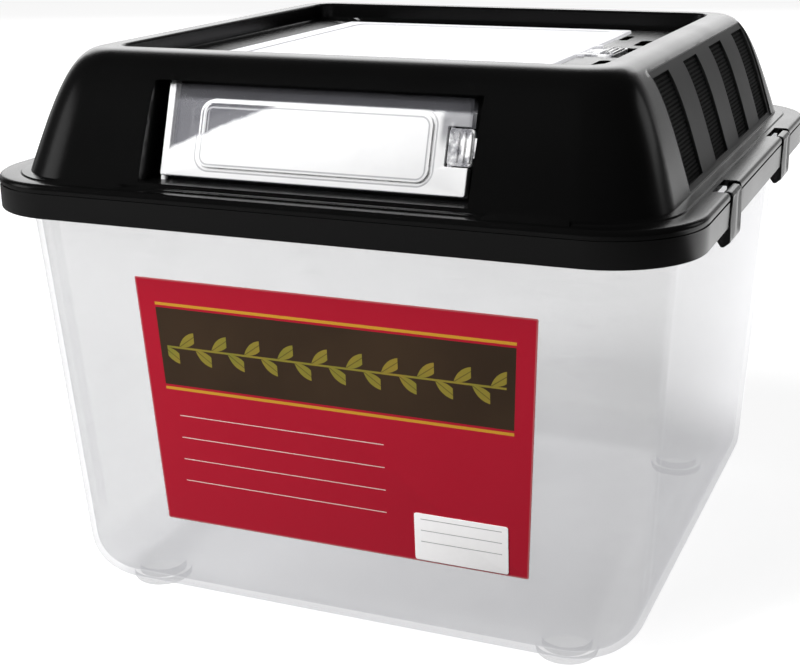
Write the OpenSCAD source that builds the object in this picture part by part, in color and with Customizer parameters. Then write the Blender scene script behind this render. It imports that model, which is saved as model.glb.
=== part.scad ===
// Plastic pet keeper: a clear moulded tank with a black domed lid.
// The lid has a clear door in its top, a clear door in its front face, vent
// stripes on both sides and four swing latches that hold it on the tank.
// Origin: centre of the footprint, on the surface the feet stand on.
// X runs to the right, Y to the back, Z up. Sizes are millimetres.

/* [Tank] */
// Width and depth of the tank at its underside
base_w = 206.8; // [190:0.2:250]
// Width and depth of the tank where the lid's band meets it
mouth_w = 222; // [205:0.5:266]
// Height of the tank's wall, from its underside to the band's lower edge
wall_h = 139.5; // [110:0.5:170]
// Thickness of the tank's wall
tank_wall = 2; // [1.6:0.1:3]
// Thickness of the tank's floor
floor_t = 2.5; // [2:0.1:4]
// Radius of the tank's upright corners
tank_corner_r = 24; // [18:0.5:30]
// Radius of the edge between the floor and the walls
tank_edge_r = 15; // [8:0.5:17]
// Thickness of the rolled rim
rim_t = 1.6; // [1.2:0.1:2]
// How far the rolled rim stands out of the wall
rim_out = 3.3; // [3:0.1:4]
// Height of the feet
foot_h = 3; // [2:0.1:5]
// Radius of a foot
foot_r = 10.5; // [8:0.5:13]
// Sideways distance of a foot from the middle
foot_x = 78; // [60:1:80]
// Front or back distance of a foot from the middle
foot_y = 82; // [60:1:84]

/* [Lid] */
// Gap between the wall of the tank and the outside of the lid's band
band_out = 9; // [8:0.5:12]
// Height of the lid's band
band_h = 11.3; // [10:0.1:16]
// Corner radius of the band
band_corner_r = 30.5; // [24:0.5:36]
// Thickness of the band's wall and of its flat ledge
band_t = 2.5; // [2:0.1:3]
// Height of the dome above the band
dome_h = 39.7; // [36:0.1:50]
// Thickness of the dome's wall
lid_wall = 2.6; // [2.4:0.1:3.5]
// Width of the ledge beside the dome, left and right
ledge_x = 10.2; // [8:0.1:14]
// Width of the ledge in front of the dome and behind it
ledge_y = 7.4; // [5:0.1:9]
// How far the dome draws in from its foot to its rim, left and right
draw_x = 23.8; // [14:0.1:24]
// How far the dome draws in from its foot to its rim, front and back
draw_y = 30.4; // [24:0.1:34]
// Share of the dome's draw that is an even slope; the rest is at its rounded shoulder
dome_slope = 0.53; // [0.3:0.01:0.7]
// Roundness of the dome's shoulder: a larger value is tighter
dome_round = 3.8; // [2:0.1:5]
// Corner radius of the dome at its foot
dome_foot_r = 24.5; // [20:0.5:30]
// Corner radius of the dome at its rim
dome_rim_r = 9; // [9:0.5:16]
// Width of the flat rim round the sunk deck
rim_w = 2.5; // [2:0.1:4]
// Depth of the deck below the rim
deck_d = 6.3; // [5:0.1:8]
// Thickness of the deck and of the walls of its recesses
deck_t = 2.2; // [2:0.1:3]
// Depth of the collar that centres the lid in the tank's mouth
collar_h = 5; // [4:0.5:8]
// Clearance between the collar and the tank's wall
collar_gap = 0.6; // [0.4:0.1:1]

/* [Vents] */
// Number of vent stripes on each side
stripes = 4; // [2:1:5]
// Width of a vent stripe
stripe_w = 20.4; // [14:0.2:24]
// How far the row of stripes lies behind the middle of the side
stripe_shift = 7; // [0:0.1:8]
// Distance between the middles of two stripes
stripe_pitch = 41.3; // [32:0.1:42]
// Depth of the side panel below the corners of the dome
panel_d = 0.6; // [0.4:0.1:0.8]
// Depth of a stripe below the side panel
stripe_d = 0.9; // [0.5:0.1:1]
// Width of one vent slit
slit_w = 1; // [0.8:0.1:1.2]
// Distance between the middles of two slits
slit_pitch = 2.5; // [2.4:0.1:4]

/* [Top door] */
// Distance of the hinge pin from the middle, to the left
top_pin_x = 62.2; // [50:0.1:64]
// Distance of the door's free edge from the middle, to the right
top_door_right = 57; // [45:0.5:58]
// Front to back length of the top door
top_door_l = 126; // [100:1:134]
// How far the top door stands above the deck
top_door_proud = 0.8; // [0:0.1:1.5]
// Width of the seat that carries the edge of the top door
top_seat_w = 5; // [4:0.5:8]
// Length of the catch on the top door
top_catch_l = 11; // [8:0.5:12]
// Width of the catch on the top door
top_catch_w = 22; // [16:0.5:26]
// Length of the finger well, from the door's edge
well_l = 18; // [15:0.5:18]
// Depth of the finger well below the deck
well_d = 7.6; // [7.6:0.1:9]

/* [Front door] */
// How far the front door leans back from upright, in degrees
front_lean = 19.5; // [15:0.5:24]
// Distance of the hinge pin from the middle, to the left
front_pin_x = 52; // [44:0.5:60]
// Distance of the door's free edge from the middle, to the right
front_door_right = 50.6; // [42:0.2:58]
// Height of the front door along its slope
front_door_h = 29.6; // [26:0.2:30]
// How far the door's lower edge lies behind the foot of the dome
front_setback = 7.2; // [6.8:0.1:9]
// Height of the door's lower edge above the band
front_door_lift = 3.1; // [3:0.1:4]
// Clearance between the door and the sides of its recess
front_side_gap = 3.5; // [3:0.1:5]
// Width of the seat that carries the edge of the front door
front_seat_w = 4; // [3:0.5:6]

/* [Both doors] */
// Thickness of a door, with its skirt
door_t = 3; // [2.8:0.1:3.4]
// Thickness of a door's pane and skirt
pane_t = 1.6; // [1.2:0.1:2]
// Height of the raised field on the front door's pane
field_t = 0.8; // [0.4:0.1:1]
// Radius of the hinge pins
pin_r = 1.1; // [0.9:0.1:1.2]
// Length of a hinge pin in its socket
pin_l = 2; // [1.6:0.1:2.2]
// Radial clearance of a hinge pin in its socket
pin_fit = 0.05; // [0.02:0.01:0.1]

/* [Latches] */
// Distance of each latch from the middle, front or back
latch_y = 50; // [42:0.5:56]
// Width of a latch
latch_w = 18; // [14:0.5:20]
// Thickness of a latch
latch_t = 2.8; // [2.4:0.1:3]
// How far the latch hangs below the band
latch_drop = 6.5; // [5:0.1:8]
// How far the latch stands out of the band
latch_proud = 0.6; // [0:0.1:1.2]

/* [Label] */
// Width of the label on the front, at its lower edge
label_w = 130.4; // [90:0.2:150]
// How far each side of the label leans out, from its lower edge to its upper edge
label_flare = 3.6; // [0:0.1:5]
// Height of the label
label_h = 87.5; // [60:0.5:100]
// Distance of the label's middle from the middle of the tank
label_x = 6.6; // [-20:0.1:20]
// Height of the label's lower edge above the tank's underside, along the wall
label_z = 33.4; // [20:0.1:40]
// Width of the blank sticker on the label
sticker_w = 31.7; // [20:0.1:40]
// Height of the blank sticker
sticker_h = 16.8; // [10:0.1:20]
// Distance from the label's lower right corner to the sticker
sticker_in = 6.5; // [3:0.5:20]

/* [Hidden] */
$fn = 48;
hull_fn = 32;
eps = 0.01;       // thickness of one slice of a hull
over = 1;         // how far a cut runs past the face it opens
near_gap = 0.3;   // gap between pieces that meet but don't fit into each other
film_gap = 0.05;  // gap behind a label or sticker
film_t = 0.2;     // thickness of a label or sticker
sticker_up = 0.6; // from the label's lower edge to the sticker

wall_top = foot_h + wall_h;                    // lower edge of the band
draft = (mouth_w - base_w) / 2 / wall_h;       // how much a wall leans out per millimetre
wall_lean = atan(draft);
seat_gap = 0.2;                                // between the tank's rim and the ledge
ledge_top = wall_top + band_h;
tank_top = ledge_top - band_t - seat_gap;
rim_half = mouth_w / 2 + rim_out;              // outside of the tank's rolled rim
band_half = mouth_w / 2 + band_out;
foot_half_x = band_half - ledge_x;             // outside of the dome at its foot
foot_half_y = band_half - ledge_y;
lid_top = ledge_top + dome_h;
deck_top = lid_top - deck_d;
deck_half_x = foot_half_x - draw_x - rim_w;
deck_half_y = foot_half_y - draw_y - rim_w;
collar_low = ledge_top - band_t - collar_h;
collar_half = base_w / 2 + (collar_low - foot_h) * draft - tank_wall - collar_gap;
collar_corner = tank_corner_r - tank_wall - collar_gap;
collar_t = 1.8;
foot_root = 1.5;                                // how far a foot runs up into the floor

// Side panels, vent stripes and slits: what they leave below, above and beside
panel_low = ledge_top + 1.2;
panel_high = lid_top - 3;
panel_side = 2.5;
stripe_low = ledge_top + 2.6;
stripe_high = lid_top - 5.2;
slit_low = ledge_top + 5;
slit_high = deck_top - deck_t - 2;
slit_side = 1.5;

// Top door
top_edge_gap = 0.5;
top_door_top = deck_top + top_door_proud;
top_door_low = top_door_top - door_t;
top_seat_gap = 0.2;
top_seat_z = top_door_low - top_seat_gap;
top_throat_r = 5;
top_barrel_r = door_t / 2;
top_pin_z = top_door_top - top_barrel_r;
top_left_gap = 1.2;
lug_w = 5.4;
lug_t = 3.6;
catch_gap = 0.5;
catch_t = 1.8;
catch_pin_x = top_door_right + 1.1;
catch_pin_z = top_door_top - 1.3;
catch_rib_in = 3;   // from the catch's sides to its finger ribs
catch_pin_r = 0.7;
catch_pin_l = 1.5;
catch_tip = catch_pin_x + top_catch_l;
nose_t = 1.5;
nose_l = 3.4;
nose_w = 10;
nose_gap = 0.4;
ear_t = 1.8;
ear_l = 2.4;
well_floor = deck_top - well_d;
well_half = top_catch_w / 2 + catch_gap + ear_t + near_gap;
keeper_t = 1.6;
keeper_h = 3.6;
rib_h = 0.6;      // finger ribs of both catches
rib_w = 0.9;
rib_pitch = 2;
rib_first = 1.4;  // from the catch's tip to its first rib
rib_count = 3;
slot_y = [29, 43];  // middles of the deck's slots, front and back
slot_x = [13, 3.2]; // their distances from the top door's free edge
slot_w = [4.5, 3.2];
slot_l = [16, 14];

// Front door: its own frame has x to the right, y up the slope and z out of the face
front_y = -(foot_half_y - front_setback);
front_z = ledge_top + front_door_lift;
front_left = front_pin_x + door_t / 2;
front_back_gap = 0.2;
front_floor = -(door_t + front_back_gap);
front_barrel_r = door_t / 2;
front_ledge_z = ledge_top + 1.6;
front_throat_in = 5;     // from the door's sides to the doorway, past the seat
front_throat_shift = 1.5;
front_mid = (front_door_right - front_left) / 2;
front_half = (front_door_right + front_left) / 2;
field_side = 12;         // from the door's sides to the raised field
field_low = 3.3;         // from the door's lower edge to the field
field_high = 5.2;        // from the door's upper edge to the field
field_r = 4;
front_catch_w = 11.2;
front_catch_l = 8;
front_catch_tip = front_door_right + 0.9;
front_catch_t = 1.6;
front_catch_n = -1.2;    // middle of the catch, out of the door's face
front_catch_mid = front_door_h / 2;
front_catch_pin = front_catch_tip - front_catch_l + front_catch_t / 2;
front_rib_in = 1;
front_nose_w = 6;
front_nose_t = 0.8;
front_keeper_out = 0.6;  // how far the keeper stands out of the recess's side
front_keeper_x = front_door_right + front_side_gap - front_keeper_out;
front_keeper_n = -0.4;   // outer end of the keeper
front_sink = 1;          // how far the lower pin runs before it meets the ledge

// Latches
latch_out = band_half + latch_proud;
latch_pin_x = latch_out - latch_t + 0.1;
latch_barrel_r = 1.9;
latch_pin_z = ledge_top - 3.5;
latch_low = wall_top - latch_drop;
notch_gap = 0.4;
cheek_x = rim_half + 1;                        // inner face of the blocks that carry a latch
cheek_t = 3.4;
cheek_low = 3;                                 // how far a cheek reaches below the pin
cheek_in = 0.4;                                // from a cheek to the band's outer faces
hook_rise = 2;                                 // slope of the hook, below and above
latch_top_gap = 0.3;

// Share of the dome's draw that is used up at height share t
function dome_share(t) =
    dome_slope * t + (1 - dome_slope) * (1 - pow(1 - pow(min(t, 1), dome_round), 1 / dome_round));
function dome_half_x(t) = foot_half_x - draw_x * dome_share(t);
function dome_half_y(t) = foot_half_y - draw_y * dome_share(t);
function dome_corner(t) = dome_foot_r - (dome_foot_r - dome_rim_r) * dome_share(t);

// A rectangle with round corners, about the origin
module rounded_rect(half_x, half_y, r) {
    square([2 * half_x, 2 * (half_y - r)], center = true);
    square([2 * (half_x - r), 2 * half_y], center = true);
    for (sx = [-1, 1], sy = [-1, 1])
        translate([sx * (half_x - r), sy * (half_y - r)]) circle(r);
}

// A slab with upright round corners, from z = low to z = high
module slab(half_x, half_y, r, low, high) {
    translate([0, 0, low]) linear_extrude(high - low) rounded_rect(half_x, half_y, r);
}

// The four corner discs of one slice of a hull
module slice(half_x, half_y, r, z) {
    for (sx = [-1, 1], sy = [-1, 1])
        translate([sx * (half_x - r), sy * (half_y - r), z]) cylinder(r = r, h = eps, $fn = hull_fn);
}

// The body of the tank, drawn in by skin and filled down to low
module tank_form(skin, low, high) {
    steps = 5;
    edge = tank_edge_r - skin;
    hull() {
        for (i = [0:steps]) {
            a = 90 * i / steps;
            z = low + edge * (1 - cos(a));
            half = base_w / 2 + (z - foot_h) * draft - skin - edge * (1 - sin(a));
            slice(half, half, tank_corner_r - skin - edge * (1 - sin(a)), z);
        }
        half = base_w / 2 + (high - foot_h) * draft - skin;
        slice(half, half, tank_corner_r - skin, high - eps);
    }
}

// The body of the dome, drawn in by skin, up to height share top
module dome_form(skin, top) {
    steps = 12;
    hull() {
        for (i = [0:steps]) {
            t = top * pow(sin(90 * (1 - pow(1 - i / steps, 1.5))), 2 / dome_round);
            z = ledge_top + dome_h * t - (i == steps ? eps : 0);
            slice(dome_half_x(t) - skin, dome_half_y(t) - skin, dome_corner(t) - skin, z);
        }
    }
}

// Places children in the front door's own frame
module front_frame() {
    translate([0, front_y, front_z]) rotate([90 - front_lean, 0, 0]) children();
}

// The space of the front recess, grown by skin on the inside of the lid
module front_recess(skin) {
    half = front_half + front_side_gap + skin;
    floor_y = front_floor - skin;
    top = front_door_h + near_gap + skin;
    out = 30;
    // profile in y and z of the lid: up the slope, then out of the face
    up = [sin(front_lean), cos(front_lean)];
    away = [-cos(front_lean), sin(front_lean)];
    low_z = front_ledge_z - skin;
    foot = [front_y, front_z] + floor_y * away;
    drop = (foot[1] - low_z) / up[1];
    p_low = foot - drop * up;
    p_top = foot + top * up;
    translate([front_mid - half, 0, 0])
        rotate([90, 0, 90]) linear_extrude(2 * half)
            polygon([p_low, p_low - [out, 0], p_top + out * away, p_top]);
}

// The sunk parts of the top: deck, door seat and finger well, grown by skin
module top_recess(skin) {
    slab(deck_half_x + skin, deck_half_y + skin, dome_rim_r - rim_w + skin, deck_top - skin,
         lid_top + over);
    seat_left = top_pin_x + top_barrel_r + top_left_gap + skin;
    seat_right = top_door_right + top_edge_gap + skin;
    seat_half = top_door_l / 2 + top_edge_gap + skin;
    translate([-seat_left, -seat_half, top_seat_z - skin])
        cube([seat_left + seat_right, 2 * seat_half, deck_d + deck_top - top_seat_z + skin]);
    translate([top_door_right - skin, -well_half - skin, well_floor - skin])
        cube([well_l + 2 * skin, 2 * (well_half + skin), deck_d + deck_top - well_floor + skin]);
}

// One row of vent slits for the stripe whose middle is at y
module stripe_slits(y) {
    count = floor((stripe_w - 2 * slit_side) / slit_pitch);
    for (i = [0:count - 1])
        translate([foot_half_x - draw_x, y + (i - (count - 1) / 2) * slit_pitch - slit_w / 2, slit_low])
            cube([draw_x + over, slit_w, slit_high - slit_low]);
}

// The cuts of one side panel: the shallow field, its stripes and their slits
module side_vents() {
    middles = [for (i = [0:stripes - 1]) stripe_shift + (i - (stripes - 1) / 2) * stripe_pitch];
    panel_half = (stripes - 1) / 2 * stripe_pitch + stripe_w / 2 + panel_side;
    difference() {
        translate([0, stripe_shift - panel_half, panel_low])
            cube([band_half, 2 * panel_half, panel_high - panel_low]);
        dome_form(panel_d, 1);
    }
    difference() {
        for (y = middles)
            translate([0, y - stripe_w / 2, stripe_low])
                cube([band_half, stripe_w, stripe_high - stripe_low]);
        dome_form(panel_d + stripe_d, 1);
    }
    for (y = middles) stripe_slits(y);
}

// The cheeks that carry one latch, at the middle of the latch
module latch_cheeks() {
    for (s = [-1, 1])
        translate([cheek_x, s * (latch_w / 2 + notch_gap) - (s < 0 ? cheek_t : 0), latch_pin_z - cheek_low])
            cube([band_half - cheek_x - cheek_in, cheek_t, ledge_top - latch_pin_z + cheek_low - cheek_in]);
}

// The notch that one latch hangs in
module latch_notch() {
    half = latch_w / 2 + notch_gap;
    translate([rim_half, -half, wall_top - over]) cube([band_out, 2 * half, band_h + 2 * over]);
}

// Runs its children at each of the four latches
module at_latches() {
    for (side = [0, 1], s = [-1, 1]) mirror([side, 0, 0]) translate([0, s * latch_y, 0]) children();
}

// The clear tank, with its rolled rim and four hollow feet
module tank() {
    color("lavender", 0.4) difference() {
        union() {
            tank_form(0, foot_h, tank_top);
            difference() {
                slab(rim_half, rim_half, tank_corner_r + rim_out, wall_top + near_gap, tank_top);
                slab(rim_half - rim_t, rim_half - rim_t, tank_corner_r + rim_out - rim_t,
                     wall_top - over, tank_top - rim_t);
            }
            for (sx = [-1, 1], sy = [-1, 1])
                translate([sx * foot_x, sy * foot_y, 0]) cylinder(r = foot_r, h = foot_h + foot_root);
        }
        tank_form(tank_wall, foot_h + floor_t, tank_top + over);
        for (sx = [-1, 1], sy = [-1, 1])
            translate([sx * foot_x, sy * foot_y, floor_t]) cylinder(r = foot_r - tank_wall, h = foot_h + over);
    }
}

// The black lid: band, ledge, collar, dome, deck, door recesses, vents and latch notches
module lid_shell() {
    color("dimgray") difference() {
        union() {
            difference() {
                lid_outside();
                lid_inside();
                top_recess(0);
                front_recess(0);
                top_throat();
                front_throat();
                lid_small_cuts();
            }
            lid_fixings();
        }
        pin_sockets();
    }
}

// The lid's outer form, with the collar and the latch cheeks
module lid_outside() {
    band_in = band_half - band_t;
    difference() {
        slab(band_half, band_half, band_corner_r, wall_top, ledge_top);
        slab(band_in, band_in, band_corner_r - band_t, wall_top - over, ledge_top - band_t);
    }
    slab(collar_half, collar_half, collar_corner, collar_low, ledge_top);
    dome_form(0, 1);
    at_latches() latch_cheeks();
}

// The hollow of the lid, which leaves walls round the recesses of the deck and the doors
module lid_inside() {
    inner = collar_half - collar_t;
    difference() {
        union() {
            slab(inner, inner, collar_corner - collar_t, collar_low - over, ledge_top + over);
            dome_form(lid_wall, 1 - lid_wall / dome_h);
        }
        top_recess(deck_t);
        front_recess(deck_t);
    }
}

// The opening under the top door
module top_throat() {
    left = top_pin_x + top_barrel_r - top_seat_w;
    right = top_door_right - top_seat_w;
    half = top_door_l / 2 - top_seat_w;
    translate([(right - left) / 2, 0, top_seat_z - deck_t - over])
        linear_extrude(deck_t + 2 * over) rounded_rect((left + right) / 2, half, top_throat_r);
}

// The opening behind the front door
module front_throat() {
    front_frame() translate([front_mid - front_throat_shift, front_door_h / 2, front_floor - deck_t - over])
        linear_extrude(deck_t + 2 * over)
            rounded_rect(front_half - front_seat_w - front_throat_in, front_door_h / 2 - front_seat_w,
                         field_r);
}

// Vents, deck slots and latch notches
module lid_small_cuts() {
    for (side = [0, 1]) mirror([side, 0, 0]) side_vents();
    for (i = [0:len(slot_y) - 1], sy = [-1, 1])
        translate([top_door_right + slot_x[i] - slot_w[i] / 2, sy * slot_y[i] - slot_l[i] / 2,
                   deck_top - deck_t - over])
            cube([slot_w[i], slot_l[i], deck_t + 2 * over]);
    at_latches() latch_notch();
}

// The hinge lugs of the top door and the keepers of both catches
module lid_fixings() {
    for (s = [-1, 1])
        translate([-top_pin_x, s * (top_door_l / 2 + near_gap + lug_t / 2), 0]) {
            translate([-lug_w / 2, -lug_t / 2, deck_top - deck_t])
                cube([lug_w, lug_t, top_pin_z - deck_top + deck_t]);
            translate([0, 0, top_pin_z]) rotate([90, 0, 0]) cylinder(r = lug_w / 2, h = lug_t, center = true);
        }
    translate([catch_tip - keeper_t, -nose_w / 2, well_floor - deck_t / 2])
        cube([keeper_t, nose_w, keeper_h + deck_t / 2]);
    front_frame()
        translate([front_keeper_x, front_catch_mid - front_nose_w / 2, front_floor - deck_t / 2])
            cube([front_keeper_out + over, front_nose_w, front_keeper_n - front_floor + deck_t / 2]);
}

// The sockets of every hinge pin that the lid carries
module pin_sockets() {
    socket_r = pin_r + pin_fit;
    translate([-top_pin_x, 0, top_pin_z]) rotate([90, 0, 0])
        cylinder(r = socket_r, h = top_door_l + 2 * (lug_t + over), center = true);
    front_frame() translate([-front_pin_x, -pin_l - front_sink - near_gap, -front_barrel_r])
        rotate([-90, 0, 0]) cylinder(r = socket_r, h = front_door_h + 2 * pin_l + front_sink + 3 * near_gap);
    at_latches() translate([latch_pin_x, 0, latch_pin_z]) rotate([90, 0, 0])
        cylinder(r = socket_r, h = latch_w + 2 * (notch_gap + pin_l + near_gap), center = true);
}

// The clear door in the deck, with its barrel and pins along the left edge
module top_door() {
    door_w = top_door_right + top_pin_x;
    color("white", 0.5) difference() {
        union() {
            translate([-top_pin_x, -top_door_l / 2, top_door_low]) cube([door_w, top_door_l, door_t]);
            translate([-top_pin_x, 0, top_pin_z]) rotate([90, 0, 0]) {
                cylinder(r = top_barrel_r, h = top_door_l, center = true);
                cylinder(r = pin_r, h = top_door_l + 2 * (near_gap + pin_l), center = true);
            }
            for (s = [-1, 1])
                translate([top_door_right - eps, s * (top_catch_w / 2 + catch_gap + ear_t / 2) - ear_t / 2,
                           top_door_low])
                    cube([ear_l, ear_t, door_t]);
        }
        translate([-top_pin_x + top_barrel_r + pane_t, -top_door_l / 2 + pane_t, top_door_low - over])
            cube([door_w - top_barrel_r - 2 * pane_t, top_door_l - 2 * pane_t, door_t - pane_t + over]);
        translate([catch_pin_x, 0, catch_pin_z]) rotate([90, 0, 0])
            cylinder(r = catch_pin_r + pin_fit, h = top_catch_w + 2 * (catch_gap + ear_t + over),
                     center = true);
    }
}

// A catch's finger ribs, across y, back from x = 0
module finger_ribs(width) {
    for (i = [0:rib_count - 1])
        translate([-rib_first - i * rib_pitch, -width / 2, -eps]) cube([rib_w, width, rib_h + eps]);
}

// The springy catch of the top door: a ribbed finger tab with a nose under it
module top_door_catch() {
    color("whitesmoke", 0.8) {
        translate([catch_pin_x, -top_catch_w / 2, catch_pin_z - catch_t / 2])
            cube([top_catch_l, top_catch_w, catch_t]);
        translate([catch_pin_x, 0, catch_pin_z]) rotate([90, 0, 0]) {
            cylinder(r = catch_t / 2, h = top_catch_w, center = true);
            cylinder(r = catch_pin_r, h = top_catch_w + 2 * (catch_gap + catch_pin_l), center = true);
        }
        translate([catch_tip, 0, catch_pin_z + catch_t / 2]) finger_ribs(top_catch_w - 2 * catch_rib_in);
        translate([catch_tip - keeper_t - nose_gap - nose_t, -nose_w / 2, catch_pin_z - catch_t / 2 - nose_l])
            cube([nose_t, nose_w, nose_l + eps]);
    }
}

// The clear door in the front face, modelled in its own frame
module front_door() {
    opening_x = front_catch_tip - front_catch_l - catch_gap;
    opening_half = front_catch_w / 2 + catch_gap;
    color("white", 0.5) front_frame() difference() {
        union() {
            translate([-front_pin_x, 0, -door_t])
                cube([front_pin_x + front_door_right, front_door_h, door_t]);
            translate([-front_pin_x, 0, -front_barrel_r]) rotate([-90, 0, 0])
                cylinder(r = front_barrel_r, h = front_door_h);
            translate([-front_pin_x, -pin_l - front_sink, -front_barrel_r]) rotate([-90, 0, 0])
                cylinder(r = pin_r, h = front_door_h + 2 * pin_l + front_sink + near_gap);
            front_field(0, 0, field_t);
        }
        front_field(pane_t, -door_t - over, field_t - pane_t);
        translate([opening_x, front_catch_mid - opening_half, -door_t - over])
            cube([front_catch_l + 2 * over, 2 * opening_half, door_t + 2 * over]);
        translate([front_catch_pin, front_catch_mid, front_catch_n]) rotate([90, 0, 0])
            cylinder(r = catch_pin_r + pin_fit, h = 2 * (opening_half + catch_pin_l), center = true);
    }
}

// The raised field of the front door, drawn in by skin, from z = low to z = high of the door's frame
module front_field(skin, low, high) {
    half_x = (front_pin_x + front_door_right) / 2 - field_side - skin;
    half_y = (front_door_h - field_low - field_high) / 2 - skin;
    translate([(front_door_right - front_pin_x) / 2, field_low + half_y + skin, low])
        linear_extrude(high - low) rounded_rect(half_x, half_y, field_r - skin);
}

// The springy catch of the front door: a ribbed finger tab with a flat nose at its tip
module front_door_catch() {
    color("whitesmoke", 0.8) front_frame() translate([0, front_catch_mid, front_catch_n]) {
        translate([front_catch_pin, -front_catch_w / 2, -front_catch_t / 2])
            cube([front_catch_tip - front_catch_pin, front_catch_w, front_catch_t]);
        translate([front_catch_pin, 0, 0]) rotate([90, 0, 0]) {
            cylinder(r = front_catch_t / 2, h = front_catch_w, center = true);
            cylinder(r = catch_pin_r, h = front_catch_w + 2 * (catch_gap + catch_pin_l - near_gap),
                     center = true);
        }
        translate([front_catch_tip - eps, -front_nose_w / 2, -front_nose_t / 2])
            cube([front_keeper_x - near_gap - front_catch_tip + eps, front_nose_w, front_nose_t]);
        translate([front_catch_tip, 0, front_catch_t / 2]) finger_ribs(front_catch_w - 2 * front_rib_in);
    }
}

// A swing latch at the right side, about its own middle
module latch() {
    color("black") {
        translate([latch_out - latch_t, -latch_w / 2, latch_low + hook_rise])
            cube([latch_t, latch_w, ledge_top - latch_low - hook_rise - latch_top_gap]);
        translate([latch_pin_x, 0, latch_pin_z]) rotate([90, 0, 0]) {
            cylinder(r = latch_barrel_r, h = latch_w, center = true);
            cylinder(r = pin_r, h = latch_w + 2 * (notch_gap + pin_l), center = true);
        }
        translate([0, latch_w / 2, 0]) rotate([90, 0, 0]) linear_extrude(latch_w)
            polygon([[rim_half + near_gap, wall_top - notch_gap], [latch_out, wall_top - notch_gap],
                     [latch_out, latch_low + hook_rise], [latch_out - latch_t, latch_low],
                     [rim_half + near_gap, wall_top - notch_gap - hook_rise]]);
    }
}

module latch_right_front() { translate([0, -latch_y, 0]) latch(); }
module latch_right_rear() { translate([0, latch_y, 0]) latch(); }
module latch_left_front() { mirror([1, 0, 0]) latch_right_front(); }
module latch_left_rear() { mirror([1, 0, 0]) latch_right_rear(); }

// Places children on the front wall: x to the right, y up the wall, z out of it
module on_front_wall() {
    translate([0, -base_w / 2, foot_h]) rotate([90 + wall_lean, 0, 0]) children();
}

// The paper label on the front wall
module front_label() {
    color("crimson") on_front_wall()
        translate([label_x, label_z, film_gap]) linear_extrude(film_t)
            polygon([[-label_w / 2, 0], [label_w / 2, 0], [label_w / 2 + label_flare, label_h],
                     [-label_w / 2 - label_flare, label_h]]);
}

// A blank white sticker on the label's lower right corner
module blank_sticker() {
    color("white") on_front_wall()
        translate([label_x + label_w / 2 - sticker_in - sticker_w, label_z + sticker_up, 2 * film_gap + film_t])
            cube([sticker_w, sticker_h, film_t]);
}

tank();
lid_shell();
top_door();
top_door_catch();
front_door();
front_door_catch();
latch_right_front();
latch_right_rear();
latch_left_front();
latch_left_rear();
front_label();
blank_sticker();
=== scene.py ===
# %% [markdown]
# # A plastic pet keeper
# A clear moulded tank with a black domed lid. The lid has a clear door in its top, a clear door in its
# front face, fine-meshed vent stripes on both sides and four swing latches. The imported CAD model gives
# every size and place. Each cell below builds one piece as a surface worked out with numpy, and gives it
# a finish made of shader maths.

# %% Tools and the CAD frame
import math

import bmesh
import bpy
import numpy as np
from mathutils import Matrix, Vector


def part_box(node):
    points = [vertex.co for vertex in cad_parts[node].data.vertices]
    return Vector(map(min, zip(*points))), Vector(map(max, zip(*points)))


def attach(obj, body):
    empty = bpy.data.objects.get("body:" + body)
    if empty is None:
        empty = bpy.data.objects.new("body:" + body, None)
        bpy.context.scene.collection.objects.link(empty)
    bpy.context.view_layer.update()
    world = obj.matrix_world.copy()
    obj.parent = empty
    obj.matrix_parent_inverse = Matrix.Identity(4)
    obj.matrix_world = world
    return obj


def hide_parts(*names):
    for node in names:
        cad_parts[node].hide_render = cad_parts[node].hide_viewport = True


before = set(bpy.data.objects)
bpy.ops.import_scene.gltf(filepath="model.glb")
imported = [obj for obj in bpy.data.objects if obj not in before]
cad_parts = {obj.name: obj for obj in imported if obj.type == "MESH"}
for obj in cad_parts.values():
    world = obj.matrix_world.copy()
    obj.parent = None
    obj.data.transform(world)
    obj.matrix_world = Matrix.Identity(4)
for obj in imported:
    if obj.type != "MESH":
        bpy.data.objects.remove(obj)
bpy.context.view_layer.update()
MM = 0.001


def box_mm(node):
    """Lowest and highest corners of a CAD node, in millimetres, as two arrays."""
    low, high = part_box(node)
    return np.array(low) / MM, np.array(high) / MM


def add_object(name, data):
    """An object that holds the data, linked to the scene."""
    obj = bpy.data.objects.new(name, data)
    bpy.context.scene.collection.objects.link(obj)
    return obj


# %% [markdown]
# ## The camera
# The photograph was taken from a little above and to the right of the front. Its place, heading and lens
# were worked out from the straight edges of the tank and the lid. A small roll and shift put the keeper
# where it is in the frame.

# %% The camera
IMAGE_W, IMAGE_H = 800, 669
CAMERA_AT = (196.15, -493.12, 249.79)
CAMERA_YAW, CAMERA_DOWN, CAMERA_ROLL = -22.019, 18.001, -0.618
FOCAL_PX, CENTRE_X_PX, CENTRE_Y_PX = 1442.0, 430.08, 333.41
SENSOR_MM = 36.0


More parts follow.
